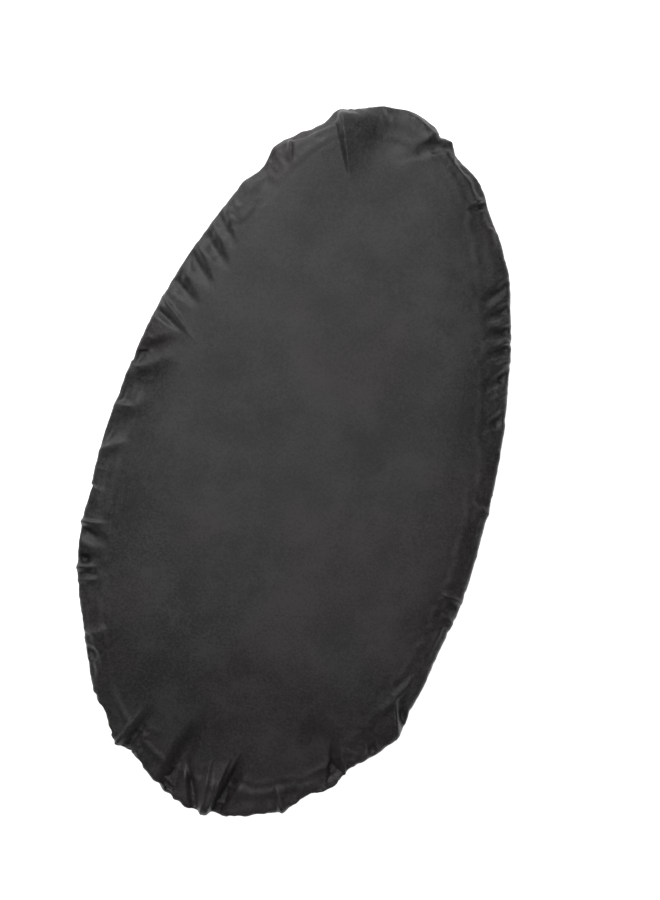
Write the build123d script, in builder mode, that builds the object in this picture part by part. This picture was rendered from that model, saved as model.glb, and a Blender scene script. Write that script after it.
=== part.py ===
from build123d import *
import os
from math import asin, atan2, cos, degrees, hypot, radians, sin, sqrt, tan

# An elasticated cockpit cover for a touring kayak, lying face up as it is stored: a coated
# fabric panel with its edge turned under all round, and a hem casing that holds a loop of
# shock cord. The cord's two ends leave the casing at the stern and pass through a cord lock.
# Frame: origin under the middle of the cover on the ground, +Y to the bow, +X to starboard,
# +Z up. Every size is in millimetres.

# Outline: an egg of four tangent arcs, seen from above
cover_width = 490.0
stern_radius = 206.0
bow_radius = 150.0
flank_radius = 784.0

# Section across the edge
crest_height = 46.0
shoulder_radius = 15.0
skin = 1.6
cord_inset = 40.0
cord_diameter = 4.8
casing_radius = 6.5
casing_bore_radius = 2.8
casing_foot_drop = 0.2
tape_thickness = 1.2
tape_tail_length = 16.5
panel_stop = 5.2
thread_width = 0.8
thread_height = 0.5
thread_place = 11.0

# Opening of the casing at the stern, and the bars of stitches that close its two ends
mouth_half_width = 45.0
patch_start = 3.4
tack_length = 8.0
tack_height = 0.7
tack_angle = 0.6
thread_setback_angle = 1.4

# Free ends of the cord, from the casing's mouth through the lock to the knot
tail_spacing = 5.2
lock_height = 8.3
knot_height = 7.6
knot_drift = 2.8
knot_skew = 0.38
knot_radius = 6.6
knot_flat = 5.5
knot_edge = 1.4
tip_diameter = 5.0
tip_length = 14.0
tip_edge = 0.6

# Cord lock: a barrel lying across the tails, with a sprung plunger
lock_y = -342.0
barrel_radius = 8.0
barrel_bore_radius = 6.0
barrel_back = -19.0
barrel_mouth = 9.7
barrel_floor = 2.0
barrel_edge = 2.5
plunger_radius = 5.7
plunger_back = -9.0
button_radius = 7.5
button_length = 5.0
button_edge = 1.5
button_gap = 0.3
plunger_travel = 3.0
slot_half_width = 5.3
slot_height = 5.6
spring_wire = 0.8
spring_radius = 4.0
spring_turns = 3.5

# Centres of the four arcs, and the angles at which they meet
flank_offset = flank_radius - cover_width / 2
stern_reach = sqrt((flank_radius - stern_radius) ** 2 - flank_offset**2)
bow_reach = sqrt((flank_radius - bow_radius) ** 2 - flank_offset**2)
cover_length = stern_radius + stern_reach + bow_reach + bow_radius
stern_y = stern_radius - cover_length / 2
widest_y = stern_y + stern_reach
bow_y = widest_y + bow_reach
stern_joint = degrees(atan2(stern_reach, flank_offset))
bow_joint = degrees(atan2(bow_reach, flank_offset))
mouth_angle = degrees(asin(mouth_half_width / (stern_radius - cord_inset)))

# The turned-under lip runs straight from the shoulder to the middle of the casing
cord_height = casing_radius - casing_foot_drop
cord_place = (-cord_inset, cord_height)
shoulder_place = (-shoulder_radius, crest_height - shoulder_radius)
lip_rise = shoulder_place[1] - cord_place[1]
lip_run = shoulder_place[0] - cord_place[0]
lip_reach = hypot(lip_run, lip_rise)
mid_radius = shoulder_radius - skin / 2
lip_slope = degrees(atan2(lip_rise, lip_run) - asin(mid_radius / lip_reach))
lip_length = sqrt(lip_reach**2 - mid_radius**2) - panel_stop
lip_direction = Vector(cos(radians(lip_slope)), sin(radians(lip_slope)))


flank_turn = stern_joint + bow_joint
bow_arc = ((0, bow_y), bow_radius, bow_joint, 180 - 2 * bow_joint)
starboard_arc = ((-flank_offset, widest_y), flank_radius, -stern_joint, flank_turn)
port_arc = ((flank_offset, widest_y), flank_radius, 180 - bow_joint, flank_turn)


def stern_arc(first_angle, last_angle):
    """A stretch of the stern's arc; 270 degrees is the middle of the stern."""
    return ((0, stern_y), stern_radius, first_angle, last_angle - first_angle)


def open_sides(stern_gap):
    """The sides of the cover by name, with a gap in the middle of the stern."""
    return {
        "stern_starboard": stern_arc(270 + stern_gap, 360 - stern_joint),
        "starboard": starboard_arc,
        "bow": bow_arc,
        "port": port_arc,
        "stern_port": stern_arc(180 + stern_joint, 270 - stern_gap),
    }


whole_sides = {
    "starboard": starboard_arc,
    "bow": bow_arc,
    "port": port_arc,
    "stern": stern_arc(180 + stern_joint, 360 - stern_joint),
}


def carry_round(section, arcs):
    """Turn a section about the middle of each arc, and add the solids to the part being built.

    A section's x is measured outward from the cover's outline and its y is the height.
    """
    for centre, radius, first_angle, turn in arcs:
        outward = Vector(cos(radians(first_angle)), sin(radians(first_angle)), 0)
        upright = Plane(origin=(*centre, 0), x_dir=outward, z_dir=outward.cross(Vector(0, 0, 1)))
        with BuildSketch(upright) as placed:
            with Locations((radius, 0)):
                add(section.sketch)
        revolve(placed.sketch, axis=Axis((*centre, 0), (0, 0, 1)), revolution_arc=turn)


def lip_strip(start, length, thickness, lift):
    """A flat strip beside the lip: start is measured up the lip from the middle of the casing."""
    middle = Vector(*cord_place) + lip_direction * (start + length / 2)
    across = Vector(-lip_direction.Y, lip_direction.X) * lift
    with Locations(middle + across):
        Rectangle(length, thickness, rotation=lip_slope)


def cord_tube(route, radii):
    """A round cord along straight runs joined by tangent arcs."""
    with BuildLine() as path:
        FilletPolyline(*route, radius=radii)
    with BuildSketch(Plane(origin=path.line @ 0, z_dir=path.line % 0)) as end:
        Circle(cord_diameter / 2)
    sweep(end.sketch, path=path.line)
    return path.wire().length


def corner_radii(route):
    """The largest arc that the two runs beside each corner allow."""
    points = [Vector(*point) for point in route]
    radii = []
    for before, corner, after in zip(points, points[1:], points[2:]):
        turn = (corner - before).get_angle(after - corner)
        shorter = min((corner - before).length, (after - corner).length)
        radii.append(0.45 * shorter / tan(radians(turn / 2)))
    return radii


# Sections

with BuildSketch() as panel_section:
    with BuildLine():
        outer = CenterArc(shoulder_place, shoulder_radius, 90, lip_slope - 180)
        inner = CenterArc(shoulder_place, shoulder_radius - skin, 90, lip_slope - 180)
        lower = Line(outer @ 1, outer @ 1 - lip_direction * lip_length)
        upper = Line(inner @ 1, inner @ 1 - lip_direction * lip_length)
        Line(outer @ 0, inner @ 0)
        Line(lower @ 1, upper @ 1)
    make_face()

with BuildSketch() as casing_section:
    with Locations(cord_place):
        Circle(casing_radius)
    lip_strip(0, tape_tail_length, skin + 2 * tape_thickness, 0)
    add(panel_section.sketch, mode=Mode.SUBTRACT)
    with Locations(cord_place):
        Circle(casing_bore_radius, mode=Mode.SUBTRACT)
    with Locations((-cord_inset, 0)):
        Rectangle(2 * cord_inset, 2 * casing_foot_drop, align=(Align.CENTER, Align.MAX), mode=Mode.SUBTRACT)

with BuildSketch() as patch_section:
    lip_strip(patch_start, tape_tail_length - patch_start, skin + 2 * tape_thickness, 0)
    add(panel_section.sketch, mode=Mode.SUBTRACT)

with BuildSketch() as cord_section:
    with Locations(cord_place):
        Circle(cord_diameter / 2)

tail_surface = skin / 2 + tape_thickness

with BuildSketch() as needle_thread_section:
    lip_strip(thread_place, thread_width, thread_height, tail_surface + thread_height / 2)

with BuildSketch() as bobbin_thread_section:
    lip_strip(thread_place, thread_width, thread_height, -tail_surface - thread_height / 2)

with BuildSketch() as tack_section:
    lip_strip(tape_tail_length - tack_length, tack_length, tack_height, -tail_surface - tack_height / 2)

# Fabric, casing and cord. The panel is one cloth and the casing one tape; each is in several
# solids, so that a simple hull of each solid leaves the space under the cover open.

pieces = {}

with BuildPart() as deck_panel:
    with BuildSketch(Plane.XY.offset(crest_height - skin)):
        with BuildLine():
            for centre, radius, first_angle, turn in whole_sides.values():
                CenterArc(centre, radius - shoulder_radius, first_angle, turn)
        make_face()
    extrude(amount=skin)
pieces["deck_panel"] = deck_panel

for side, arc in whole_sides.items():
    with BuildPart() as turned_edge:
        carry_round(panel_section, [arc])
    pieces[f"turned_edge_{side}"] = turned_edge

for side, arc in open_sides(mouth_angle).items():
    with BuildPart() as hem_casing:
        carry_round(casing_section, [arc])
    pieces[f"hem_casing_{side}"] = hem_casing

with BuildPart() as stern_patch:
    carry_round(patch_section, [stern_arc(270 - mouth_angle, 270 + mouth_angle)])
pieces["stern_patch"] = stern_patch

with BuildPart() as shock_cord:
    carry_round(cord_section, open_sides(mouth_angle).values())
pieces["shock_cord"] = shock_cord

with BuildPart() as needle_thread:
    carry_round(needle_thread_section, open_sides(mouth_angle + thread_setback_angle).values())
pieces["needle_thread"] = needle_thread

with BuildPart() as bobbin_thread:
    carry_round(bobbin_thread_section, open_sides(mouth_angle + thread_setback_angle).values())
pieces["bobbin_thread"] = bobbin_thread

with BuildPart() as bar_tacks:
    for side in (1, -1):
        for place in (mouth_angle - 2 * tack_angle, mouth_angle + tack_angle):
            middle = 270 + side * place
            carry_round(tack_section, [stern_arc(middle - tack_angle / 2, middle + tack_angle / 2)])
pieces["bar_tacks"] = bar_tacks

# Free ends of the cord. The runs go straight out of the casing, round to the middle line,
# straight through the lock and on to the knot, which lies a little to starboard.

mouth_y = stern_y - sqrt((stern_radius - cord_inset) ** 2 - mouth_half_width**2)
half_spacing = tail_spacing / 2


def tail_route(side):
    """Points of one tail; side is 1 for starboard and -1 for port."""
    return [
        (side * mouth_half_width, mouth_y, cord_height),
        (side * 25.7, -408.5, cord_height),
        (side * 7.5, -393.0, 7.2),
        (side * half_spacing, -371.0, lock_height),
        (side * half_spacing, -303.0, lock_height),
        (side * half_spacing + knot_drift, -283.8 - side * knot_skew, knot_height),
    ]


with BuildPart() as cord_tail_starboard:
    starboard_length = cord_tube(tail_route(1), corner_radii(tail_route(1)))
pieces["cord_tail_starboard"] = cord_tail_starboard

with BuildPart() as cord_tail_port:
    port_length = cord_tube(tail_route(-1), corner_radii(tail_route(-1)))
pieces["cord_tail_port"] = cord_tail_port

knot_entry = (Vector(*tail_route(1)[-1]) + Vector(*tail_route(-1)[-1])) * 0.5
knot_direction = (Vector(*tail_route(1)[-1]) - Vector(*tail_route(1)[-2])).normalized()
knot_plane = Plane(origin=knot_entry + knot_direction * knot_flat, x_dir=(1, 0, 0), z_dir=knot_direction)

with BuildPart() as tail_knot:
    with BuildSketch(knot_plane.offset(-knot_flat)):
        Circle(knot_radius)
    extrude(amount=2 * knot_flat)
    fillet(tail_knot.edges().filter_by(GeomType.CIRCLE), knot_edge)
pieces["tail_knot"] = tail_knot

with BuildPart() as cord_tips:
    with BuildSketch(knot_plane.offset(knot_flat)):
        with Locations((-half_spacing, 0), (half_spacing, 0)):
            Circle(tip_diameter / 2)
    extrude(amount=tip_length)
    chamfer(cord_tips.faces().filter_by(GeomType.PLANE).sort_by(Axis.Y)[-2:].edges(), tip_edge)
pieces["cord_tips"] = cord_tips

# Cord lock. Its barrel lies along X; the two slots only line up when the button is pressed in.

lock_plane = Plane(origin=(0, lock_y, lock_height), x_dir=(0, 1, 0), z_dir=(1, 0, 0))
slot_plane = Plane(origin=(0, lock_y, lock_height), x_dir=(1, 0, 0), z_dir=(0, -1, 0))
slot_width = 2 * slot_half_width + plunger_travel
button_start = barrel_mouth + plunger_travel + button_gap

with BuildPart() as lock_barrel:
    with BuildSketch(lock_plane.offset(barrel_back)):
        Circle(barrel_radius)
    extrude(amount=barrel_mouth - barrel_back)
    fillet(lock_barrel.edges().filter_by(GeomType.CIRCLE).sort_by(Axis.X)[0], barrel_edge)
    with BuildSketch(lock_plane.offset(barrel_back + barrel_floor)):
        Circle(barrel_bore_radius)
    extrude(amount=barrel_mouth - barrel_back, mode=Mode.SUBTRACT)
    with BuildSketch(slot_plane):
        with Locations((-plunger_travel / 2, 0)):
            Rectangle(slot_width, slot_height)
    extrude(amount=barrel_radius, both=True, mode=Mode.SUBTRACT)
pieces["lock_barrel"] = lock_barrel

with BuildPart() as lock_plunger:
    with BuildSketch(lock_plane.offset(plunger_back)):
        Circle(plunger_radius)
    extrude(amount=button_start - plunger_back)
    with BuildSketch(lock_plane.offset(button_start)):
        Circle(button_radius)
    extrude(amount=button_length)
    fillet(lock_plunger.edges().filter_by(GeomType.CIRCLE).sort_by(Axis.X)[-1], button_edge)
    with BuildSketch(slot_plane):
        with Locations((plunger_travel / 2, 0)):
            Rectangle(slot_width, slot_height)
    extrude(amount=plunger_radius, both=True, mode=Mode.SUBTRACT)
pieces["lock_plunger"] = lock_plunger

spring_length = plunger_back - barrel_back - barrel_floor - spring_wire
spring_foot = barrel_back + barrel_floor + spring_wire / 2
spring_plane = lock_plane.offset(spring_foot)

with BuildPart() as lock_spring:
    with BuildLine() as coil:
        Helix(
            pitch=spring_length / spring_turns,
            height=spring_length,
            radius=spring_radius,
            center=spring_plane.origin,
            direction=spring_plane.z_dir,
        )
    with BuildSketch(Plane(origin=coil.line @ 0, z_dir=coil.line % 0)):
        Circle(spring_wire / 2)
    sweep(path=coil.line)
pieces["lock_spring"] = lock_spring

os.makedirs("parts", exist_ok=True)
for name, piece in pieces.items():
    piece.part.label = name
    export_step(piece.part, f"parts/{name}.step")

print("cover", round(cover_length, 1), "x", cover_width)
print("arc radii of each tail", [round(radius, 1) for radius in corner_radii(tail_route(1))])
for name, length, tail in (
    ("starboard", starboard_length, cord_tail_starboard),
    ("port", port_length, cord_tail_port),
):
    section_area = 3.14159 * (cord_diameter / 2) ** 2
    print(name, "tail", round(length, 1), "volume", round(tail.part.volume), "of", round(section_area * length))
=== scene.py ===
from math import asin, atan2, cos, hypot, pi, radians, sin, sqrt

import bpy
import numpy as np
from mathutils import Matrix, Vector, geometry


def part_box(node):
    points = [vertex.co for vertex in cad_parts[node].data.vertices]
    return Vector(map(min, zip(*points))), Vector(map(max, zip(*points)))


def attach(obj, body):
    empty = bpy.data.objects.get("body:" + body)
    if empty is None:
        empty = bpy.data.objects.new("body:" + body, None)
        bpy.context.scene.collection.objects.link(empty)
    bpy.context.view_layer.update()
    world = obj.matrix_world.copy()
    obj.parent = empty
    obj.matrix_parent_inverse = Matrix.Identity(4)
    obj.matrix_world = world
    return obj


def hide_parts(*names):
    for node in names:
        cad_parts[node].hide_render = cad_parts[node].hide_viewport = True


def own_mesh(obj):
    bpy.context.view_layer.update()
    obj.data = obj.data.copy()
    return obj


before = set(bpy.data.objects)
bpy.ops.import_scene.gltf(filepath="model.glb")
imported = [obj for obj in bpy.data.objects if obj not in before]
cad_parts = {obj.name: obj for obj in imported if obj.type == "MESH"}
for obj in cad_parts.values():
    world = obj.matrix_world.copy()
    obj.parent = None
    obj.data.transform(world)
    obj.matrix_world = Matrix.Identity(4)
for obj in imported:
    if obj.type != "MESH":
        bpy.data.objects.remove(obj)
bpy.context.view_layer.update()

# The cover lies face up, +Y to the bow, +X to starboard. Sizes are in metres.
MM = 0.001
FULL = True

# Outline: the egg of four tangent arcs that the CAD panel has
WIDTH = 490 * MM
STERN_RADIUS = 206 * MM
BOW_RADIUS = 150 * MM
FLANK_RADIUS = 784 * MM
FLANK_OFFSET = FLANK_RADIUS - WIDTH / 2
STERN_REACH = sqrt((FLANK_RADIUS - STERN_RADIUS) ** 2 - FLANK_OFFSET**2)
BOW_REACH = sqrt((FLANK_RADIUS - BOW_RADIUS) ** 2 - FLANK_OFFSET**2)
LENGTH = STERN_RADIUS + STERN_REACH + BOW_REACH + BOW_RADIUS
STERN_Y = STERN_RADIUS - LENGTH / 2
WIDEST_Y = STERN_Y + STERN_REACH
BOW_Y = WIDEST_Y + BOW_REACH
STERN_JOINT = atan2(STERN_REACH, FLANK_OFFSET)
BOW_JOINT = atan2(BOW_REACH, FLANK_OFFSET)

# Section across the edge: the hem casing, the turned-under lip and the shoulder
CASING_INSET = 40 * MM
CASING_HEIGHT = 6.3 * MM
SHOULDER_RADIUS = 14.2 * MM
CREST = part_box("deck_panel")[1].z - 0.8 * MM
MOUTH_HALF_WIDTH = 45 * MM
SHOULDER_PLACE = np.array([-15 * MM, CREST - SHOULDER_RADIUS])
CASING_PLACE = np.array([-CASING_INSET, CASING_HEIGHT])


def outline(spacing):
    """Stations round the egg: arc centre x and y, arc radius and outward angle of each one."""
    arcs = [
        (0, STERN_Y, STERN_RADIUS, -pi / 2, pi / 2 - STERN_JOINT),
        (-FLANK_OFFSET, WIDEST_Y, FLANK_RADIUS, -STERN_JOINT, STERN_JOINT + BOW_JOINT),
        (0, BOW_Y, BOW_RADIUS, BOW_JOINT, pi - 2 * BOW_JOINT),
        (FLANK_OFFSET, WIDEST_Y, FLANK_RADIUS, pi - BOW_JOINT, STERN_JOINT + BOW_JOINT),
        (0, STERN_Y, STERN_RADIUS, pi + STERN_JOINT, pi / 2 - STERN_JOINT),
    ]
    stations = []
    for x, y, radius, first, turn in arcs:
        count = round(radius * turn / spacing)
        for k in range(count):
            stations.append((x, y, radius, first + turn * k / count))
    return np.array(stations)


def at_offset(stations, offset):
    """Plan positions at an offset outward from the egg, one for each station."""
    reach = stations[:, 2] + offset
    x = stations[:, 0] + reach * np.cos(stations[:, 3])
    y = stations[:, 1] + reach * np.sin(stations[:, 3])
    return np.stack([x, y], axis=-1)


# Section measured along the cloth: 0 at the top of the shoulder, positive outward and under to
# the hem, negative inward over the face
lip_run = SHOULDER_PLACE[0] - CASING_PLACE[0]
lip_rise = SHOULDER_PLACE[1] - CASING_PLACE[1]
lip_reach = hypot(lip_run, lip_rise)
LIP_SLOPE = atan2(lip_rise, lip_run) - asin(SHOULDER_RADIUS / lip_reach)
LIP_START = 7 * MM
SHOULDER_LENGTH = SHOULDER_RADIUS * (pi - LIP_SLOPE)
LIP_LENGTH = sqrt(lip_reach**2 - SHOULDER_RADIUS**2) - LIP_START
TURNED_LENGTH = SHOULDER_LENGTH + LIP_LENGTH
LIP_DIRECTION = np.array([cos(LIP_SLOPE), sin(LIP_SLOPE)])


def section(along):
    """Offset from the outline and height of a place on the section."""
    if along <= 0:
        return SHOULDER_PLACE[0] + along, CREST
    if along <= SHOULDER_LENGTH:
        angle = pi / 2 - along / SHOULDER_RADIUS
        return tuple(SHOULDER_PLACE + SHOULDER_RADIUS * np.array([cos(angle), sin(angle)]))
    angle = LIP_SLOPE - pi / 2
    lip_end = SHOULDER_PLACE + SHOULDER_RADIUS * np.array([cos(angle), sin(angle)])
    return tuple(lip_end - LIP_DIRECTION * (along - SHOULDER_LENGTH))


def smooth_step(low, high, value):
    t = np.clip((value - low) / (high - low), 0, 1)
    return t * t * (3 - 2 * t)


# The sheet's mesh: rings that follow the edge, and an even lattice over the face
STATION_SPACING = 3.4 * MM
RING_SPACING = 5 * MM
LATTICE_SPACING = 8 * MM
FACE_RINGS = 12
stations = outline(STATION_SPACING)
STATION_COUNT = len(stations)
TURNED_RINGS = round(TURNED_LENGTH / RING_SPACING)
RING_PLACES = [TURNED_LENGTH * (1 - k / TURNED_RINGS) for k in range(TURNED_RINGS + 1)]
RING_PLACES += [-RING_SPACING * (k + 1) for k in range(FACE_RINGS)]


def lattice_points(inset):
    """A triangular lattice inside the egg, no nearer to the outline than inset."""
    points = []
    rim = at_offset(stations, 0)
    row_height = LATTICE_SPACING * sqrt(3) / 2
    rows = int(LENGTH / row_height)
    columns = int(WIDTH / LATTICE_SPACING)
    for row in range(rows):
        for column in range(columns):
            x = -WIDTH / 2 + (column + 0.5 * (row % 2)) * LATTICE_SPACING
            y = -LENGTH / 2 + row * row_height
            points.append((x, y))
    points = np.array(points)
    nearest = np.array([np.hypot(*(rim - p).T).min() for p in points])
    inside = (points[:, 0] ** 2 / (WIDTH / 2) ** 2 + points[:, 1] ** 2 / (LENGTH / 2) ** 2) < 1
    return points[inside & (nearest > inset)]


def ring_faces(rings, size):
    """Quads that join closed rings of vertices, which are numbered one ring after another."""
    faces = []
    for ring in range(rings - 1):
        low, high = ring * size, (ring + 1) * size
        for k in range(size):
            after = (k + 1) % size
            faces.append((low + k, low + after, high + after, high + k))
    return faces


def sheet_mesh():
    """Vertices as plan position and place on the section, with the faces that join them."""
    place, plan = [], []
    for along in RING_PLACES:
        plan.append(at_offset(stations, section(along)[0]))
        place.append(np.full(STATION_COUNT, along))
    faces = ring_faces(len(RING_PLACES), STATION_COUNT)
    inner = -SHOULDER_PLACE[0] - RING_PLACES[-1]
    lattice = lattice_points(inner + 0.7 * LATTICE_SPACING)
    first = (len(RING_PLACES) - 1) * STATION_COUNT
    loop = [Vector(p) for p in plan[-1]]
    points = loop + [Vector(p) for p in lattice]
    edges = [(k, (k + 1) % STATION_COUNT) for k in range(STATION_COUNT)]
    filled = geometry.delaunay_2d_cdt(points, edges, [], 1, 1e-6)
    faces += [tuple(first + v for v in face) for face in filled[2]]
    plan.append(lattice)
    place.append(np.full(len(lattice), -1.0))
    return np.concatenate(plan), np.concatenate(place), faces


plan, place, sheet_faces = sheet_mesh()


def new_mesh(name, points, faces):
    mesh = bpy.data.meshes.new(name)
    mesh.from_pydata([tuple(p) for p in points], [], [tuple(f) for f in faces])
    mesh.update()
    mesh.polygons.foreach_set("use_smooth", [True] * len(mesh.polygons))
    piece = bpy.data.objects.new(name, mesh)
    bpy.context.scene.collection.objects.link(piece)
    return piece


def read_points(mesh):
    co = np.zeros(len(mesh.vertices) * 3)
    mesh.vertices.foreach_get("co", co)
    return co.reshape(-1, 3)


def write_points(mesh, points):
    mesh.vertices.foreach_set("co", np.asarray(points, dtype=float).ravel())
    mesh.update()


# Level of the cloth: the face falls towards the edge, has a low crown, and dips behind the bow
EDGE_DROP = 6 * MM
EDGE_REACH = 62 * MM
CROWN = 8 * MM
BOW_DIP = 7 * MM
DIP_X, DIP_Y = 10 * MM, 395 * MM
DIP_WIDTH, DIP_LENGTH = 55 * MM, 38 * MM
LOW_LEVEL = CASING_HEIGHT + 7 * MM
MOST_LOWERED = 0.62


def shoulder_drop(along):
    """Share of the edge's drop round the shoulder: it joins the face's slope smoothly."""
    t = np.clip(along / SHOULDER_LENGTH, 0, 1)
    slope = 2 * SHOULDER_LENGTH / EDGE_REACH
    return 2 * t**3 - 3 * t**2 + 1 + slope * (t**3 - 2 * t**2 + t)


def raised(plan_points, places, stand_off=0.0):
    """Heights of the start shape: the section at the edge and the gently crowned face inside it."""
    heights = np.empty(len(plan_points))
    for k, along in enumerate(places):
        heights[k] = section(along)[1] if along > 0 else CREST
    face = places <= 0
    heights[face] += face_swell(plan_points[face])
    rim = at_offset(stations, SHOULDER_PLACE[0])
    inward = np.array([np.hypot(*(rim - p).T).min() for p in plan_points[face]])
    drop = EDGE_DROP * (1 - 0.7 * smooth_step(0.3 * LENGTH, 0.46 * LENGTH, plan_points[:, 1]))
    heights[face] -= drop[face] * np.clip(1 - inward / EDGE_REACH, 0, 1) ** 2
    heights[~face] -= drop[~face] * shoulder_drop(places[~face])
    return lowered(np.column_stack([plan_points, heights - stand_off]))


def face_swell(points):
    """How far the face stands above the crest: a low crown, with a dip behind the bow."""
    x, y = points[:, 0], points[:, 1]
    across = np.clip(1 - (x / (0.44 * WIDTH)) ** 2, 0, 1)
    lengthways = smooth_step(-0.47 * LENGTH, -0.1 * LENGTH, y)
    lengthways *= 1 - smooth_step(0.1 * LENGTH, 0.42 * LENGTH, y)
    dip = np.exp(-(((x - DIP_X) / DIP_WIDTH) ** 2 + ((y - DIP_Y) / DIP_LENGTH) ** 2))
    return CROWN * across * lengthways - BOW_DIP * dip


def lowered(points):
    """The edge stands lower round the stern, and a little lower along the port quarter."""
    x, y = points[:, 0], points[:, 1]
    stern = 1 - smooth_step(-0.5 * LENGTH, -0.25 * LENGTH, y)
    quarter = 1 - smooth_step(-0.5 * WIDTH, -0.3 * WIDTH, x)
    quarter *= 1 - smooth_step(-0.05 * LENGTH, 0.2 * LENGTH, y)
    share = 1 - MOST_LOWERED * np.maximum(stern, 0.5 * quarter)
    above = np.maximum(points[:, 2] - LOW_LEVEL, 0)
    result = points.copy()
    result[:, 2] = np.minimum(points[:, 2], LOW_LEVEL) + above * share
    return result


def flat_cut():
    """Plan of the sheet as it is cut, before its edge is turned under."""
    cut = plan.copy()
    turned = place > 0
    rings = int(turned.sum() // STATION_COUNT)
    for ring in range(rings):
        these = slice(ring * STATION_COUNT, (ring + 1) * STATION_COUNT)
        cut[these] = at_offset(stations, SHOULDER_PLACE[0] + place[ring * STATION_COUNT])
    return np.column_stack([cut, np.zeros(len(cut))])


# Stretches of the edge that are gathered more or less than the rest: a place on the outline, how
# far the stretch reaches, and its share of the most spare cloth
GATHERED = [
    ((0, -445), 190, 1.0),
    ((-215, 150), 150, 0.85),
    ((-240, -60), 110, 0.6),
    ((-225, -230), 80, 0.7),
    ((205, 190), 110, 0.9),
    ((0, 445), 130, 0.7),
    ((215, -180), 90, 0.45),
]
MOST_EASE = 0.15


def away_from(points, x, y):
    """Distances on the plan from a place that is given in millimetres."""
    return np.hypot(points[:, 0] - x * MM, points[:, 1] - y * MM)


def spare_cloth(plan_points, places):
    """Share of the most spare cloth at each vertex: most at the shoulder, none over the face."""
    share = np.full(len(plan_points), 0.25)
    for (x, y), reach, most in GATHERED:
        away = away_from(plan_points, x, y)
        share = np.maximum(share, most * (1 - smooth_step(0.5 * reach * MM, reach * MM, away)))
    return share * smooth_step(-45 * MM, 0, places)


# The settling: how long it lasts, how far it may carry the cloth, and the former under it
SETTLING_FRAMES = 24
MOST_MOVE = 12 * MM
LOWEST_CLOTH = 1.2 * MM
HEM_WIDTH = 2.2 * RING_SPACING
UNEVENNESS = 0.35 * MM
FORMER_GAP = 1 * MM
FORMER_RINGS = 10


def settle(sheet, rest, former):
    """Let the cloth find its gathers over the unseen former, its hem held, and keep the result."""
    start = read_points(sheet.data)
    sheet.shape_key_add(name="start")
    flat = sheet.shape_key_add(name="flat")
    flat.data.foreach_set("co", rest.ravel())
    hem = sheet.vertex_groups.new(name="hem")
    hem.add([int(k) for k in np.nonzero(place > TURNED_LENGTH - HEM_WIDTH)[0]], 1.0, "REPLACE")
    cloth = sheet.modifiers.new("Cloth", "CLOTH")
    cloth.settings.rest_shape_key = flat
    cloth.settings.vertex_group_mass = "hem"
    ease = sheet.vertex_groups.new(name="ease")
    for k, share in enumerate(spare_cloth(plan, place)):
        ease.add([k], float(share), "REPLACE")
    cloth.settings.vertex_group_shrink = "ease"
    cloth.settings.shrink_min = 0.0
    cloth.settings.shrink_max = -MOST_EASE
    cloth.settings.quality = 5
    cloth.settings.mass = 0.15
    cloth.settings.tension_stiffness = 20
    cloth.settings.compression_stiffness = 20
    cloth.settings.shear_stiffness = 8
    cloth.settings.bending_stiffness = 0.2
    cloth.settings.tension_damping = 8
    cloth.settings.compression_damping = 8
    cloth.settings.bending_damping = 0.5
    cloth.settings.air_damping = 2
    cloth.collision_settings.collision_quality = 2
    cloth.collision_settings.distance_min = 1 * MM
    cloth.point_cache.frame_start = 1
    cloth.point_cache.frame_end = SETTLING_FRAMES
    former.modifiers.new("Collision", "COLLISION")
    former.collision.thickness_outer = 1 * MM
    former.collision.cloth_friction = 8
    scene = bpy.context.scene
    for number in range(1, SETTLING_FRAMES + 1):
        scene.frame_set(number)
    shown = sheet.evaluated_get(bpy.context.evaluated_depsgraph_get())
    settled = read_points(shown.data)
    scene.frame_set(1)
    sheet.modifiers.clear()
    sheet.shape_key_clear()
    sheet.vertex_groups.clear()
    moved = settled - start
    reach = np.linalg.norm(moved, axis=1, keepdims=True)
    moved *= np.minimum(1, MOST_MOVE / np.maximum(reach, 1e-9))
    settled = start + moved
    settled[:, 2] = np.maximum(settled[:, 2], LOWEST_CLOTH)
    write_points(sheet.data, settled)
    bpy.data.objects.remove(former)


def build_former():
    """The unseen solid under the cloth, a little inside its start shape."""
    rings, heights = [], []
    for k in range(FORMER_RINGS):
        along = SHOULDER_LENGTH * (1 - k / (FORMER_RINGS - 1))
        offset, height = section(along)
        angle = pi / 2 - along / SHOULDER_RADIUS
        rings.append(at_offset(stations, offset - FORMER_GAP * cos(angle)))
        drop = EDGE_DROP * shoulder_drop(along)
        heights.append(np.full(STATION_COUNT, height - drop - FORMER_GAP * sin(angle)))
    edge_points = lowered(np.column_stack([np.concatenate(rings), np.concatenate(heights)]))
    top = place <= 0
    face_points = raised(plan[top], place[top], FORMER_GAP)
    number = np.full(len(plan), -1)
    number[top] = len(edge_points) + np.arange(len(face_points))
    turned_count = len(plan) - len(face_points)
    crest_ring = len(edge_points) - STATION_COUNT + np.arange(STATION_COUNT)
    number[turned_count - STATION_COUNT:turned_count] = crest_ring
    faces = ring_faces(FORMER_RINGS, STATION_COUNT)
    for face in sheet_faces:
        joined = [int(number[v]) for v in face]
        if min(joined) >= 0:
            faces.append(tuple(joined))
    return new_mesh("former", np.concatenate([edge_points, face_points]), faces)


random = np.random.default_rng(7)
start_points = raised(plan, place)
start_points += random.normal(0, UNEVENNESS, start_points.shape) * (place > 0)[:, None]
sheet = new_mesh("deck_cloth", start_points, sheet_faces)
if FULL:
    settle(sheet, flat_cut(), build_former())


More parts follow.
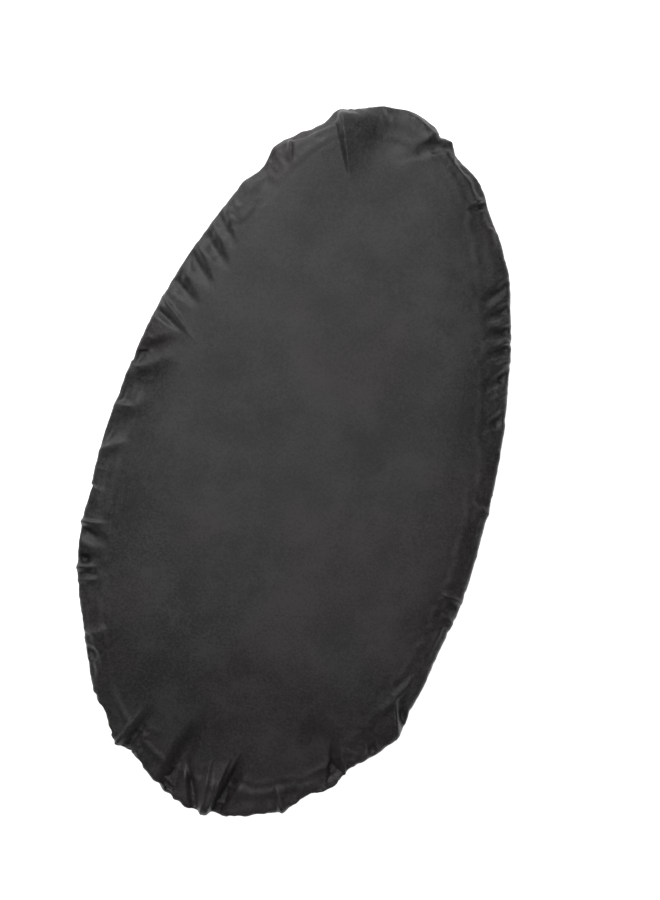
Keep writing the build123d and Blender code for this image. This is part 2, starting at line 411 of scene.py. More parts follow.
def refine(piece, kept):
    """Halve the mesh's spacing, and return the kept values of the finer mesh's vertices."""
    for name, values in kept.items():
        attribute = piece.data.attributes.new(name, "FLOAT", "POINT")
        attribute.data.foreach_set("value", values.astype(np.float32))
    finer = piece.modifiers.new("Subdivision", "SUBSURF")
    finer.levels = finer.render_levels = 1
    shown = piece.evaluated_get(bpy.context.evaluated_depsgraph_get())
    mesh = bpy.data.meshes.new_from_object(shown)
    coarse = piece.data
    piece.modifiers.clear()
    piece.data = mesh
    bpy.data.meshes.remove(coarse)
    finer_values = {}
    for name in kept:
        values = np.zeros(len(mesh.vertices), np.float32)
        mesh.attributes[name].data.foreach_get("value", values)
        mesh.attributes.remove(mesh.attributes[name])
        finer_values[name] = values.astype(float)
    return finer_values


# What is pressed into the cloth, in millimetres on the plan.
# A fold runs from its outer end to its inner end. Its height is at the outer end, negative for a
# valley; then come the widths of its left and right sides, seen from the outer end.
FOLDS = [
    # port side, forward of the middle
    ((-192, 272), (-150, 228), -3.0, 7, 9),
    ((-201, 243), (-150, 198), -4.0, 9, 9),
    ((-213, 216), (-163, 172), -4.5, 8, 11),
    ((-221, 176), (-174, 146), -4.0, 9, 9),
    ((-226, 150), (-166, 103), 2.6, 3, 11),
    ((-229, 132), (-184, 110), -4.5, 8, 5),
    ((-238, 68), (-188, 104), -5.0, 9, 12),
    ((-246, 14), (-184, 74), -5.0, 12, 18),
    ((-245, 2), (-218, 6), 3.0, 5, 5),
    ((-250, -38), (-206, 12), -5.0, 11, 13),
    ((-238, -52), (-212, -36), 2.5, 8, 8),
    # port side, aft of the middle
    ((-247, -151), (-212, -143), 4.0, 3, 7),
    ((-240, -160), (-205, -166), -5.0, 7, 9),
    ((-241, -198), (-210, -188), -5.5, 6, 5),
    ((-236, -208), (-207, -197), 3.5, 4, 4),
    ((-226, -222), (-199, -211), 2.5, 4, 4),
    ((-192, -282), (-176, -268), 2.5, 9, 7),
    ((-196, -302), (-168, -312), -3.5, 6, 6),
    # port quarter
    ((-125, -400), (-104, -340), 3.5, 3, 10),
    ((-112, -405), (-92, -350), -4.0, 9, 5),
    # stern
    ((-46, -425), (-28, -334), -6.5, 13, 9),
    ((-14, -450), (-38, -396), -7.0, 4, 5),
    ((-2, -452), (-8, -385), 5.0, 6, 6),
    ((6, -450), (16, -380), 6.0, 12, 3),
    ((16, -448), (30, -372), -6.5, 4, 12),
    ((28, -446), (40, -404), 3.0, 5, 5),
    ((128, -345), (96, -300), -5.0, 22, 18),
    ((97, -434), (78, -398), 4.5, 4, 9),
    ((150, -392), (130, -318), -6.0, 4, 14),
    ((163, -374), (140, -322), 5.0, 8, 3),
    ((186, -330), (168, -300), -4.5, 6, 8),
    # starboard quarter
    ((206, -300), (186, -240), 4.0, 3, 8),
    ((214, -286), (196, -248), -4.5, 6, 4),
    ((196, -246), (212, -214), 2.5, 5, 5),
    ((237, -118), (209, -112), 3.0, 3, 5),
    ((238, -128), (212, -124), -3.5, 5, 5),
    ((236, -148), (215, -134), 3.0, 4, 6),
    # starboard side, forward: short gathers
    ((188, 278), (160, 246), -3.5, 6, 7),
    ((199, 252), (166, 222), -4.5, 5, 7),
    ((203, 236), (183, 220), 2.0, 4, 4),
    ((210, 228), (174, 204), -5.0, 5, 7),
    ((212, 212), (190, 200), 2.5, 3, 4),
    ((219, 207), (182, 182), -5.5, 5, 7),
    ((219, 190), (196, 176), 2.5, 4, 4),
    ((226, 176), (190, 142), -5.5, 6, 8),
    ((226, 150), (204, 134), 2.0, 4, 5),
    ((234, 121), (200, 91), -5.0, 6, 9),
    ((238, -2), (219, 6), 2.0, 3, 5),
    # bow
    ((-78, 441), (-34, 340), 5.0, 27, 5),
    ((-8, 440), (-2, 372), -2.5, 26, 26),
    ((-122, 373), (-114, 346), 2.5, 3, 4),
    ((-136, 348), (-138, 272), -2.5, 12, 14),
    ((10, 452), (55, 430), 2.5, 5, 5),
    ((76, 432), (10, 388), -2.5, 6, 14),
    ((60, 445), (20, 405), 2.5, 7, 7),
    ((134, 380), (114, 356), 2.5, 4, 4),
    ((138, 372), (112, 352), -4.5, 5, 4),
]

# A bulge pushes the edge outward at a place on the outline, or inward if its amount is negative;
# its reach is to each side
BULGES = [
    # broad swellings of the outline
    ((0, -450), 10, 100),
    ((-60, -440), 2, 60),
    ((70, -440), 5, 60),
    ((-130, -402), 9, 34),
    ((-200, -312), -3, 70),
    ((-228, -180), 8, 110),
    ((-245, -60), 3, 90),
    ((-152, 336), -7, 28),
    ((-130, 340), 4, 90),
    ((-112, 398), -7, 32),
    ((0, 450), 5, 50),
    ((92, 422), -9, 36),
    ((150, 338), 3, 40),
    ((178, 300), 7, 60),
    ((190, 235), 6, 90),
    ((243, 0), -3, 130),
    ((222, -262), 5, 70),
    ((206, -306), 9, 45),
    ((146, -386), 10, 34),
    ((104, -426), 11, 40),
    # corners and notches
    ((-77, 436), 9, 14),
    ((-88, 412), -7, 12),
    ((57, 436), -5, 9),
    ((71, 430), 5, 9),
    ((130, 378), 3, 13),
    ((-247, -151), 4, 10),
    ((-121, -402), 4, 12),
    ((-19, -450), 2, 9),
    ((63, -446), -4, 9),
    ((99, -434), 4, 13),
    ((163, -366), -4, 9),
    ((212, -303), 6, 10),
    ((198, -318), -6, 7),
    ((235, -3), 3, 8),
    ((-116, 394), 3, 9),
    ((-131, 357), 3, 9),
]

# A band is a stretch of edge that is creased flat instead of rolled: a place, and its reach
BANDS = [
    ((238, -60), 80),
    ((232, -170), 80),
    ((205, -245), 40),
    ((-168, -330), 45),
    ((-120, -395), 60),
    ((135, -398), 50),
]
BAND_SHARE = 0.35
EDGE_PUSH = 2.5 * MM
BROAD_REACH = 25
CORNER_ROUNDING = 6 * MM
FOLD_GAIN = 1.5
FOLD_SPREAD = 1.7
LOWEST_FACE = 17.5 * MM


def fold_height(points, outer, inner, height, left, right):
    """Height of one fold at plan positions: it narrows and dies away towards its inner end."""
    outer, inner = np.array(outer) * MM, np.array(inner) * MM
    run = inner - outer
    length = np.hypot(*run)
    run = run / length
    away = points - outer
    along = away @ run / length
    across = away[:, 1] * run[0] - away[:, 0] * run[1]
    fading = 1 - smooth_step(0.3, 1.05, along)
    width = FOLD_SPREAD * np.where(across > 0, left, right) * MM * (0.6 + 0.4 * fading)
    nearness = np.clip(1 - np.abs(across) / width, 0, 1)
    shape = nearness**1.6 if height > 0 else nearness**2 * (3 - 2 * nearness)
    reach = smooth_step(-1.2, -0.5, along)
    return FOLD_GAIN * height * MM * fading * reach * shape


def band_shift(points, places, outward):
    """Shift that creases the shoulder flat along the bands."""
    on_band = np.zeros(len(points))
    for (x, y), reach in BANDS:
        near = 1 - smooth_step(0.5 * reach * MM, reach * MM, away_from(points, x, y))
        on_band = np.maximum(on_band, BAND_SHARE * near)
    quarter = SHOULDER_RADIUS * pi / 2
    angle = np.clip(places, 0, quarter) / SHOULDER_RADIUS
    share = np.clip(places, 0, quarter) / quarter
    out = SHOULDER_RADIUS * (share - np.sin(angle))
    up = SHOULDER_RADIUS * ((1 - share) - np.cos(angle))
    shift = outward * out[:, None]
    shift[:, 2] = up
    return on_band[:, None] * shift


def edge_push(points, places):
    """How far the edge is pushed outward: everywhere a little, and more at the bulges."""
    pushed = np.full(len(points), EDGE_PUSH)
    for (x, y), amount, reach in BULGES:
        away = away_from(points, x, y)
        if reach > BROAD_REACH:
            pushed += amount * MM * (1 - smooth_step(0.1, 1.1, away / (reach * MM)))
        else:
            pushed += amount * MM * np.clip(1 - away / (reach * MM + CORNER_ROUNDING), 0, 1) ** 1.3
    turned = smooth_step(-22 * MM, 12 * MM, places)
    return pushed * turned * (1 - smooth_step(SHOULDER_LENGTH, TURNED_LENGTH, places))


def press_by_hand(piece, kept):
    """Press the listed bands, bulges and folds into the cloth."""
    mesh = piece.data
    points = read_points(mesh)
    places = kept["place"]
    outward = np.column_stack([kept["outward_x"], kept["outward_y"], np.zeros(len(points))])
    points += band_shift(points, places, outward)
    points += outward * edge_push(points, places)[:, None]
    write_points(mesh, points)
    normals = np.zeros(len(mesh.vertices) * 3, np.float32)
    mesh.vertices.foreach_get("normal", normals)
    lift = np.zeros(len(points))
    for fold in FOLDS:
        lift += fold_height(points[:, :2], *fold)
    lift *= 1 - smooth_step(2 * MM, 20 * MM, places)
    points += normals.reshape(-1, 3) * lift[:, None]
    over_lip = places < 6 * MM
    points[over_lip, 2] = np.maximum(points[over_lip, 2], LOWEST_FACE)
    write_points(mesh, points)


def outward_headings():
    """The way outward at each vertex of the rings, and nothing over the lattice."""
    heading = np.zeros((len(plan), 2))
    ring_count = len(RING_PLACES)
    one_ring = np.column_stack([np.cos(stations[:, 3]), np.sin(stations[:, 3])])
    heading[:ring_count * STATION_COUNT] = np.tile(one_ring, (ring_count, 1))
    return heading


heading = outward_headings()
kept = refine(sheet, {"place": place, "outward_x": heading[:, 0], "outward_y": heading[:, 1]})
press_by_hand(sheet, kept)


# Pieces under the turned edge. The hem line runs from the starboard mouth round the bow to port.
LIP_NORMAL = np.array([-sin(LIP_SLOPE), cos(LIP_SLOPE)])
TAPE_TAIL_LENGTH = 16.5 * MM
TAPE_HALF = 0.45 * MM
TAPE_STAND_OFF = 1.2 * MM
TUBE_RADIUS = 5.6 * MM
THREAD_PLACE = 11 * MM
CORD_RADIUS = 2.4 * MM


def hem_line(spacing, in_the_gap=False):
    """Stations along the hem casing, or across the gap at the stern."""
    line = outline(spacing)
    hem = at_offset(line, -CASING_INSET)
    gap = (np.abs(hem[:, 0]) < MOUTH_HALF_WIDTH) & (hem[:, 1] < 0)
    if not in_the_gap:
        return line[~gap]
    chosen = line[gap]
    return chosen[np.argsort(at_offset(chosen, 0)[:, 0])]


def on_section(line, offset, height):
    """Points in space at an offset from the outline and a height, lowered as the edge is."""
    flat = at_offset(line, offset)
    return lowered(np.column_stack([flat, np.broadcast_to(height, len(line))]))


def lip_place(along, lift):
    """Offset and height of a place beside the lip: along is measured up it from the casing."""
    return CASING_PLACE + LIP_DIRECTION * along + LIP_NORMAL * lift


def strip_section(middle, half):
    """The closed section of a strip of cloth, round its middle line."""
    middle = np.array(middle)
    run = np.gradient(middle, axis=0)
    run /= np.linalg.norm(run, axis=1, keepdims=True)
    side = np.column_stack([-run[:, 1], run[:, 0]]) * half
    return np.concatenate([middle + side, (middle - side)[::-1]])


def swept_strip(name, line, middles, half):
    """A strip of cloth whose section changes from station to station, closed at both ends."""
    points = []
    for station, middle in zip(line, middles):
        section_points = strip_section(middle, half)
        reach = station[2] + section_points[:, 0]
        points.append(np.column_stack([
            station[0] + reach * cos(station[3]),
            station[1] + reach * sin(station[3]),
            section_points[:, 1],
        ]))
    count = len(points[0])
    faces = [(a, d, c, b) for a, b, c, d in ring_faces(len(points), count)]
    last = (len(points) - 1) * count
    for k in range(count // 2 - 1):
        across = count - 1 - k
        faces.append((k, k + 1, across - 1, across))
        faces.append((last + across, last + across - 1, last + k + 1, last + k))
    return new_mesh(name, lowered(np.concatenate(points)), faces)


def tube(points, radius, sides=8):
    """Vertices and faces of a round tube along a line of points, closed at both ends."""
    points = np.asarray(points, dtype=float)
    run = np.gradient(points, axis=0)
    run /= np.linalg.norm(run, axis=1, keepdims=True)
    side = np.cross(run[0], (0.31, 0.17, 0.93))
    vertices = []
    for place_on_line, along in zip(points, run):
        side = side - along * (side @ along)
        side /= np.linalg.norm(side)
        other = np.cross(along, side)
        for k in range(sides):
            turn = 2 * pi * k / sides
            vertices.append(place_on_line + radius * (cos(turn) * side + sin(turn) * other))
    faces = ring_faces(len(points), sides)
    last = (len(points) - 1) * sides
    faces.append(tuple(range(sides))[::-1])
    faces.append(tuple(last + k for k in range(sides)))
    return vertices, faces


def tubes(name, lines, radius, sides=8):
    """One mesh of several round tubes."""
    vertices, faces = [], []
    for line in lines:
        more, joined = tube(line, radius, sides)
        faces += [tuple(len(vertices) + v for v in face) for face in joined]
        vertices += more
    return new_mesh(name, vertices, faces)


# Hem tape: folded round the cord and over both faces of the lip, and ruched by the cord's pull
def tape_middle(length):
    """Middle line of the tape's section at a distance along the hem."""
    ruche = sin(length / (1.35 * MM) + 1.3 * sin(length / (17 * MM)))
    wave = sin(length / (2.9 * MM) + 0.8 * sin(length / (31 * MM)))
    opening = asin(TAPE_STAND_OFF / TUBE_RADIUS)
    start = TUBE_RADIUS * cos(opening)
    middle = []
    for along in np.linspace(TAPE_TAIL_LENGTH, start + 2 * MM, 5):
        lift = TAPE_STAND_OFF + 0.12 * MM * ruche * (along - start) / (TAPE_TAIL_LENGTH - start)
        middle.append(lip_place(along, lift))
    for turn in np.linspace(opening, 2 * pi - opening, 20):
        dent = 0.45 * MM * (1 + ruche * sin(turn / 2)) + 0.25 * MM * (1 + wave * cos(turn))
        reach = TUBE_RADIUS + 0.2 * MM - dent * sin(turn / 2)
        direction = cos(turn) * LIP_DIRECTION + sin(turn) * LIP_NORMAL
        middle.append(CASING_PLACE + reach * direction)
    for along in np.linspace(start + 2 * MM, TAPE_TAIL_LENGTH, 5):
        lift = TAPE_STAND_OFF + 0.12 * MM * wave * (along - start) / (TAPE_TAIL_LENGTH - start)
        middle.append(lip_place(along, -lift))
    return middle


TAPE_SPACING = 1.9 * MM
hem = hem_line(TAPE_SPACING)
hem_tape = swept_strip("hem_tape", hem, [tape_middle(k * TAPE_SPACING) for k in range(len(hem))], TAPE_HALF)


# Patch: a binding folded over the lip's edge across the gap at the stern
def patch_middle():
    fold = 3.9 * MM
    middle = [lip_place(along, TAPE_STAND_OFF) for along in np.linspace(TAPE_TAIL_LENGTH, fold, 6)]
    for turn in np.linspace(pi / 2, 3 * pi / 2, 7)[1:-1]:
        middle.append(lip_place(fold + TAPE_STAND_OFF * cos(turn), TAPE_STAND_OFF * sin(turn)))
    middle += [lip_place(along, -TAPE_STAND_OFF) for along in np.linspace(fold, TAPE_TAIL_LENGTH, 6)]
    return middle


gap_line = hem_line(TAPE_SPACING, in_the_gap=True)
stern_patch = swept_strip("patch", gap_line, [patch_middle()] * len(gap_line), TAPE_HALF)


# Stitches: a row on each face of the tape, and a zigzag bar at each end of the casing
STITCH_PITCH = 3.8 * MM
THREAD_RADIUS = 0.3 * MM
THREAD_STAND_OFF = 0.15 * MM


def stitch_row(name, lift):
    """Stitches of one row: each dips into the cloth at both of its ends."""
    line = hem_line(STITCH_PITCH / 4)
    row = on_section(line, *lip_place(THREAD_PLACE, lift))
    sunk = on_section(line, *lip_place(THREAD_PLACE, lift * 0.75))
    lines = []
    for first in range(6, len(line) - 8, 4):
        lines.append([sunk[first], row[first + 1], row[first + 2], sunk[first + 3]])
    return tubes(name, lines, THREAD_RADIUS, 6)


surface_lift = TAPE_STAND_OFF + TAPE_HALF
needle_stitches = stitch_row("needle_stitches", surface_lift + THREAD_STAND_OFF)
bobbin_stitches = stitch_row("bobbin_stitches", -surface_lift - THREAD_STAND_OFF)

TACK_ANGLE = radians(0.6)
TACK_LENGTH = 8 * MM
TACK_STEPS = 28
TACK_THREAD_RADIUS = 0.28 * MM
MOUTH_ANGLE = asin(MOUTH_HALF_WIDTH / (STERN_RADIUS - CASING_INSET))


def tack_line(middle_angle):
    """One bar of zigzag stitches across the tape's tail."""
    line = []
    for k in range(TACK_STEPS + 1):
        angle = middle_angle + 0.55 * TACK_ANGLE * (-1) ** k
        along = TAPE_TAIL_LENGTH - TACK_LENGTH * (1 - k / TACK_STEPS)
        station = np.array([[0, STERN_Y, STERN_RADIUS, angle]])
        line.append(on_section(station, *lip_place(along, -surface_lift - 0.2 * MM))[0])
    return line


tack_places = [MOUTH_ANGLE - 2 * TACK_ANGLE, MOUTH_ANGLE + TACK_ANGLE]
tack_lines = [tack_line(-pi / 2 + side * p) for side in (1, -1) for p in tack_places]
tack_stitches = tubes("tack_stitches", tack_lines, TACK_THREAD_RADIUS, 6)

# Shock cord inside the casing
cord_line = hem_line(4 * MM)
hem_cord = tubes("hem_cord", [on_section(cord_line, *CASING_PLACE)], CORD_RADIUS, 12)

# Free ends of the cord
LOCK_PLACE = Vector((0, -342 * MM, 8.3 * MM))
MOUTH_Y = STERN_Y - sqrt((STERN_RADIUS - CASING_INSET) ** 2 - MOUTH_HALF_WIDTH**2)


def tail_points(side):
    """Points of one tail, from the casing's mouth through the lock to the knot."""
    points = [
        (side * 45, MOUTH_Y / MM, 6.3),
        (side * 25.7, -408.5, 6.3),
        (side * 7.5, -393.0, 7.2),
        (side * 2.6, -371.0, 8.3),
        (side * 2.6, -303.0, 8.3),
        (side * 2.6 + 2.8, -283.8 - side * 0.38, 7.6),
    ]
    return [Vector(p) * MM for p in points]


def tail_curve(name, side):
    data = bpy.data.curves.new(name, "CURVE")
    data.dimensions = "3D"
    data.resolution_u = 16
    data.bevel_depth = CORD_RADIUS
    data.bevel_resolution = 4
    data.use_fill_caps = True
    spline = data.splines.new("NURBS")
    points = tail_points(side)
    spline.points.add(len(points) - 1)
    for control, position in zip(spline.points, points):
        control.co = (*position, 1)
    spline.order_u = 3
    spline.use_endpoint_u = True
    tail = bpy.data.objects.new(name, data)
    bpy.context.scene.collection.objects.link(tail)
    return tail


tails = {1: tail_curve("starboard_tail", 1), -1: tail_curve("port_tail", -1)}

# Overhand knot in the two tails, pulled tight
knot_entry = (tail_points(1)[-1] + tail_points(-1)[-1]) / 2
knot_axis = (tail_points(1)[-1] - tail_points(1)[-2]).normalized()
knot_side = knot_axis.cross(Vector((0, 0, 1))).normalized()
knot_up = knot_side.cross(knot_axis)
KNOT_HALF = 5.5 * MM
KNOT_CORD_RADIUS = 2.1 * MM


def knot_line(side):
    """One strand of the overhand knot: a long trefoil, drawn in at both ends."""
    line = []
    for t in np.linspace(-2.05, 2.05, 90):
        across, rise, along = t**3 - 3 * t, t**4 - 4 * t**2 + 1.8, t**5 - 10 * t
        drawn_in = smooth_step(1.5, 2.05, abs(t))
        shift = side * (0.9 * MM + 1.7 * MM * drawn_in)
        x = (1 - drawn_in) * 1.7 * MM * across + shift
        z = (1 - drawn_in) * 1.5 * MM * rise
        y = KNOT_HALF * (1 + along / 15.7 * (0.8 + 0.2 * drawn_in))
        line.append(knot_entry + knot_side * x + knot_up * z + knot_axis * y)
    return line


cord_knot = tubes("cord_knot", [knot_line(1), knot_line(-1)], KNOT_CORD_RADIUS, 12)

# Spring in the lock
SPRING_WIRE = 0.8 * MM
SPRING_RADIUS = 4 * MM
SPRING_TURNS = 3.5
SPRING_START = -17 * MM
SPRING_END = -9 * MM
SPRING_STEPS = 112
spring_line = []
for k in range(SPRING_STEPS + 1):
    turn = 2 * pi * SPRING_TURNS * k / SPRING_STEPS
    reach = SPRING_START + SPRING_WIRE / 2 + (SPRING_END - SPRING_START - SPRING_WIRE) * k / SPRING_STEPS
    spring_line.append(LOCK_PLACE + Vector((reach, SPRING_RADIUS * cos(turn), SPRING_RADIUS * sin(turn))))
coil_spring = tubes("coil_spring", [spring_line], SPRING_WIRE / 2, 10)

# The cloth's thickness, half to each side of its surface
cloth_thickness = sheet.modifiers.new("Thickness", "SOLIDIFY")
cloth_thickness.thickness = 0.6 * MM
cloth_thickness.offset = 0
shown = sheet.evaluated_get(bpy.context.evaluated_depsgraph_get())
thick = bpy.data.meshes.new_from_object(shown)
sheet.modifiers.clear()
sheet.data = thick


def material(name):
    made = bpy.data.materials.new(name)
    made.use_nodes = True
    return made, made.node_tree.nodes, made.node_tree.links


# Floor, light and camera
CAMERA_X, CAMERA_Y = 29.8 * MM, 20.4 * MM
LENS, SENSOR = 85, 36
FRAME_HEIGHT = 1.123
DECK_LEVEL = 31 * MM
TURN = radians(15.9)
camera_data = bpy.data.cameras.new("camera")
camera_data.lens = LENS
camera_data.sensor_width = SENSOR
camera = bpy.data.objects.new("camera", camera_data)
bpy.context.scene.collection.objects.link(camera)
camera.location = (CAMERA_X, CAMERA_Y, DECK_LEVEL + FRAME_HEIGHT * LENS / SENSOR)
camera.rotation_euler = (0, 0, TURN)
bpy.context.scene.camera = camera
image_right = Vector((cos(TURN), sin(TURN), 0))
image_up = Vector((-sin(TURN), cos(TURN), 0))


def area_light(name, across, up, height, size, power):
    data = bpy.data.lights.new(name, "AREA")
    data.energy = power
    data.size = size
    light = bpy.data.objects.new(name, data)
    bpy.context.scene.collection.objects.link(light)
    light.location = image_right * across + image_up * up + Vector((0, 0, height))
    light.rotation_euler = (-light.location).to_track_quat("-Z", "Y").to_euler()


area_light("key_light", -0.7, 2.05, 1.65, 1.6, 50)
area_light("overhead_light", -0.12, 0.12, 2.4, 0.8, 14)
world = bpy.data.worlds.new("world")
world.use_nodes = True
world.node_tree.nodes["Background"].inputs[0].default_value = (1, 1, 1, 1)
world.node_tree.nodes["Background"].inputs[1].default_value = 0.16
bpy.context.scene.world = world
bpy.context.scene.view_settings.view_transform = "Standard"

floor = new_mesh("floor", [(-6, -6, 0), (6, -6, 0), (6, 6, 0), (-6, 6, 0)], [(0, 1, 2, 3)])
made, nodes, links = material("pale_floor")
nodes["Principled BSDF"].inputs["Base Color"].default_value = (0.85, 0.85, 0.85, 1)
nodes["Principled BSDF"].inputs["Roughness"].default_value = 0.9
nodes["Principled BSDF"].inputs["Emission Color"].default_value = (1, 1, 1, 1)
nodes["Principled BSDF"].inputs["Emission Strength"].default_value = 0.95
floor.data.materials.append(made)


def coordinates(nodes, links, scale=(1, 1, 1), turn=0.0):
    """Object coordinates of a material, scaled and turned."""
    source = nodes.new("ShaderNodeTexCoord")
    mapping = nodes.new("ShaderNodeMapping")
    mapping.inputs["Scale"].default_value = scale
    mapping.inputs["Rotation"].default_value = (0, 0, turn)
    links.new(source.outputs["Object"], mapping.inputs["Vector"])
    return mapping.outputs["Vector"]


def noise(nodes, links, vector, scale, detail, roughness=0.5):
    texture = nodes.new("ShaderNodeTexNoise")
    texture.inputs["Scale"].default_value = scale
    texture.inputs["Detail"].default_value = detail
    texture.inputs["Roughness"].default_value = roughness
    links.new(vector, texture.inputs["Vector"])
    return texture.outputs["Fac"]


def spread(nodes, links, value, from_low, from_high, to_low, to_high):
    """Map a value's range onto another one."""
    mapped = nodes.new("ShaderNodeMapRange")
    for socket, number in zip(mapped.inputs[1:5], (from_low, from_high, to_low, to_high)):
        socket.default_value = number
    links.new(value, mapped.inputs["Value"])
    return mapped.outputs["Result"]


def combined(nodes, links, operation, first, second):
    node = nodes.new("ShaderNodeMath")
    node.operation = operation
    for socket, value in zip(node.inputs, (first, second)):
        if isinstance(value, (int, float)):
            socket.default_value = value
        else:
            links.new(value, socket)
    return node.outputs["Value"]


def tinted(nodes, links, value, dark, light):
    """A colour between dark and light, by a value from 0 to 1."""
    ramp = nodes.new("ShaderNodeValToRGB")
    ramp.color_ramp.elements[0].color = (*dark, 1)
    ramp.color_ramp.elements[1].color = (*light, 1)
    links.new(value, ramp.inputs["Fac"])
    return ramp.outputs["Color"]


def bumped(nodes, links, value, strength, distance):
    bump = nodes.new("ShaderNodeBump")
    bump.inputs["Strength"].default_value = strength
    bump.inputs["Distance"].default_value = distance
    links.new(value, bump.inputs["Height"])
    return bump.outputs["Normal"]


def coated_nylon():
    """Charcoal nylon: fine mottling, cloudy wear, warmer to the stern, and a weave as a small bump."""
    made, nodes, links = material("coated_nylon")
    shader = nodes["Principled BSDF"]
    plain_view = coordinates(nodes, links)
    cloudy = noise(nodes, links, plain_view, 16, 5, 0.6)
    mottled = noise(nodes, links, plain_view, 330, 4, 0.75)
    worn = combined(nodes, links, "ADD", combined(nodes, links, "MULTIPLY", cloudy, 0.4),
                    combined(nodes, links, "MULTIPLY", mottled, 0.6))
    shade = spread(nodes, links, worn, 0.42, 0.58, 0, 1)
    cool = tinted(nodes, links, shade, (0.0066, 0.0068, 0.0066), (0.0312, 0.0318, 0.0310))
    warm = tinted(nodes, links, shade, (0.0086, 0.0070, 0.0068), (0.0328, 0.0288, 0.0284))
    mixed = nodes.new("ShaderNodeMix")
    mixed.data_type = "RGBA"
    patches = noise(nodes, links, plain_view, 7, 2)
    apart = nodes.new("ShaderNodeSeparateXYZ")
    links.new(plain_view, apart.inputs["Vector"])
    sternward = spread(nodes, links, apart.outputs["Y"], -0.42, 0.1, 0.12, -0.06)
    warmth = combined(nodes, links, "ADD", patches, sternward)
    links.new(spread(nodes, links, warmth, 0.42, 0.6, 0, 1), mixed.inputs["Factor"])
    links.new(cool, mixed.inputs["A"])
    links.new(warm, mixed.inputs["B"])
    links.new(mixed.outputs["Result"], shader.inputs["Base Color"])
    links.new(spread(nodes, links, mottled, 0.3, 0.7, 0.34, 0.5), shader.inputs["Roughness"])
    weave = []
    for turn in (0, pi / 2):
        wave = nodes.new("ShaderNodeTexWave")
        wave.inputs["Scale"].default_value = 340
        wave.inputs["Distortion"].default_value = 0.6
        wave.inputs["Detail"].default_value = 1
        links.new(coordinates(nodes, links, turn=turn), wave.inputs["Vector"])
        weave.append(wave.outputs["Fac"])
    threads = combined(nodes, links, "MULTIPLY", *weave)
    surface = combined(nodes, links, "ADD", threads, combined(nodes, links, "MULTIPLY", mottled, 1.6))
    links.new(bumped(nodes, links, surface, 0.35, 0.0004), shader.inputs["Normal"])
    shader.inputs["Specular IOR Level"].default_value = 0.45
    shader.inputs["Sheen Weight"].default_value = 0.06
    shader.inputs["Sheen Roughness"].default_value = 0.4
    return made


def woven_or_moulded(name, dark, light, speck, roughness, bump, threads=None, metallic=0.0):
    """A finish with fine specks over broad clouds, and rows of threads if it is woven, whose low parts
    between the threads are darkened as painted shade.
    """
    made, nodes, links = material(name)
    shader = nodes["Principled BSDF"]
    plain_view = coordinates(nodes, links)
    fine = noise(nodes, links, plain_view, speck, 4, 0.6)
    broad = noise(nodes, links, plain_view, speck / 9, 3)
    blend = combined(nodes, links, "ADD", combined(nodes, links, "MULTIPLY", fine, 0.6),
                     combined(nodes, links, "MULTIPLY", broad, 0.4))
    shade = spread(nodes, links, blend, 0.36, 0.64, 0, 1)
    surface = fine
    if threads:
        spacing, turns = threads
        for turn in turns:
            wave = nodes.new("ShaderNodeTexWave")
            wave.inputs["Scale"].default_value = 0.314 / spacing
            wave.inputs["Distortion"].default_value = 0.8
            wave.inputs["Detail"].default_value = 1
            links.new(coordinates(nodes, links, turn=turn), wave.inputs["Vector"])
            surface = combined(nodes, links, "ADD", surface, wave.outputs["Fac"])
        # painted shade: the colour is darkened where the weave's surface is low, between the threads
        dip = spread(nodes, links, surface, 0.3, 0.5 + len(turns), 0, 1)
        shade = combined(nodes, links, "MULTIPLY", shade, dip)
    links.new(tinted(nodes, links, shade, dark, light), shader.inputs["Base Color"])
    links.new(spread(nodes, links, fine, 0.3, 0.7, *roughness), shader.inputs["Roughness"])
    links.new(bumped(nodes, links, surface, *bump), shader.inputs["Normal"])
    shader.inputs["Metallic"].default_value = metallic
    return made


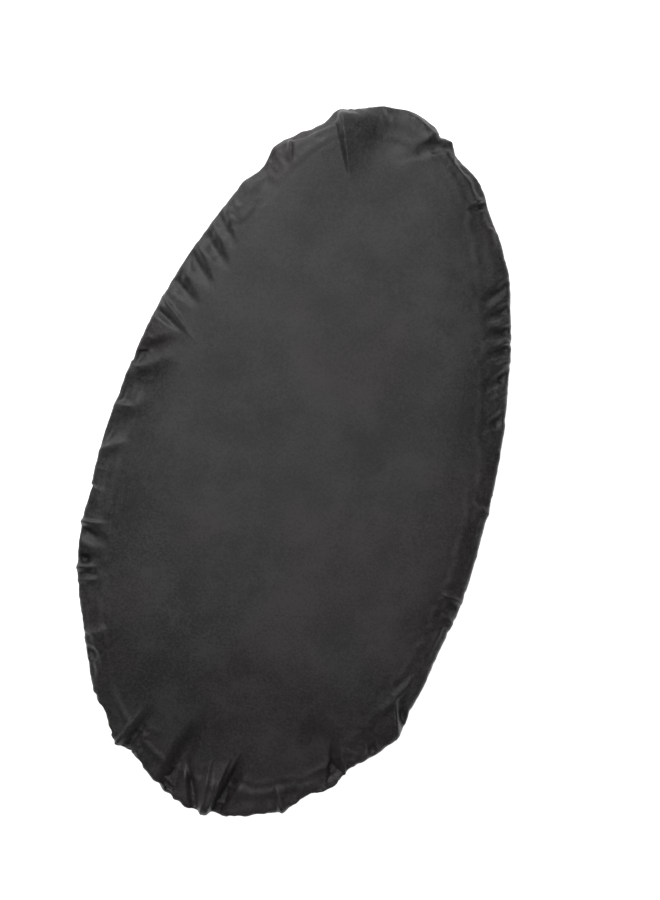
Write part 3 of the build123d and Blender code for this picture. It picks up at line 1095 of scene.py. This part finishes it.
crossed = (radians(45), radians(-45))
finishes = {
    "coated_nylon": coated_nylon(),
    "hem_tape": woven_or_moulded(
        "hem_tape", (0.010, 0.010, 0.011), (0.034, 0.033, 0.034), 500, (0.7, 0.85), (0.5, 0.0004),
        (0.7 * MM, crossed)),
    "thread": woven_or_moulded(
        "thread", (0.016, 0.016, 0.017), (0.060, 0.059, 0.060), 900, (0.45, 0.6), (0.4, 0.0002),
        (0.35 * MM, crossed)),
    "cord_sheath": woven_or_moulded(
        "cord_sheath", (0.008, 0.008, 0.009), (0.075, 0.075, 0.078), 420, (0.55, 0.75), (0.7, 0.0005),
        (0.9 * MM, crossed)),
    "tip_sleeve": woven_or_moulded(
        "tip_sleeve", (0.006, 0.006, 0.006), (0.014, 0.014, 0.014), 300, (0.22, 0.36), (0.2, 0.0002)),
    "lock_plastic": woven_or_moulded(
        "lock_plastic", (0.010, 0.010, 0.010), (0.020, 0.020, 0.020), 700, (0.34, 0.46), (0.3, 0.0002)),
    "spring_steel": woven_or_moulded(
        "spring_steel", (0.42, 0.41, 0.40), (0.62, 0.61, 0.60), 600, (0.22, 0.4), (0.2, 0.0001),
        metallic=1.0),
}


def dress(piece, slot, body, *replaced):
    """Give a piece its finish and its body, and hide the CAD nodes that it stands for."""
    piece.data.materials.clear()
    piece.data.materials.append(finishes[slot])
    if piece.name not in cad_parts:
        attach(piece, body)
    if replaced:
        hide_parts(*replaced)


turned_edges = [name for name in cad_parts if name.startswith("turned_edge")]
hem_casings = [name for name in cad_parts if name.startswith("hem_casing")]
dress(sheet, "coated_nylon", "cover", "deck_panel", *turned_edges)
dress(hem_tape, "hem_tape", "cover", *hem_casings)
dress(stern_patch, "hem_tape", "cover", "stern_patch")
dress(needle_stitches, "thread", "cover", "needle_thread")
dress(bobbin_stitches, "thread", "cover", "bobbin_thread")
dress(tack_stitches, "thread", "cover", "bar_tacks")
dress(hem_cord, "cord_sheath", "cover", "shock_cord")
dress(tails[1], "cord_sheath", "cover", "cord_tail_starboard")
dress(tails[-1], "cord_sheath", "cover", "cord_tail_port")
dress(cord_knot, "cord_sheath", "cover", "tail_knot")
dress(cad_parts["cord_tips"], "tip_sleeve", "cover")
dress(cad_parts["lock_barrel"], "lock_plastic", "lock")
dress(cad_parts["lock_plunger"], "lock_plastic", "plunger")
dress(coil_spring, "spring_steel", "lock", "lock_spring")
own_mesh(coil_spring)
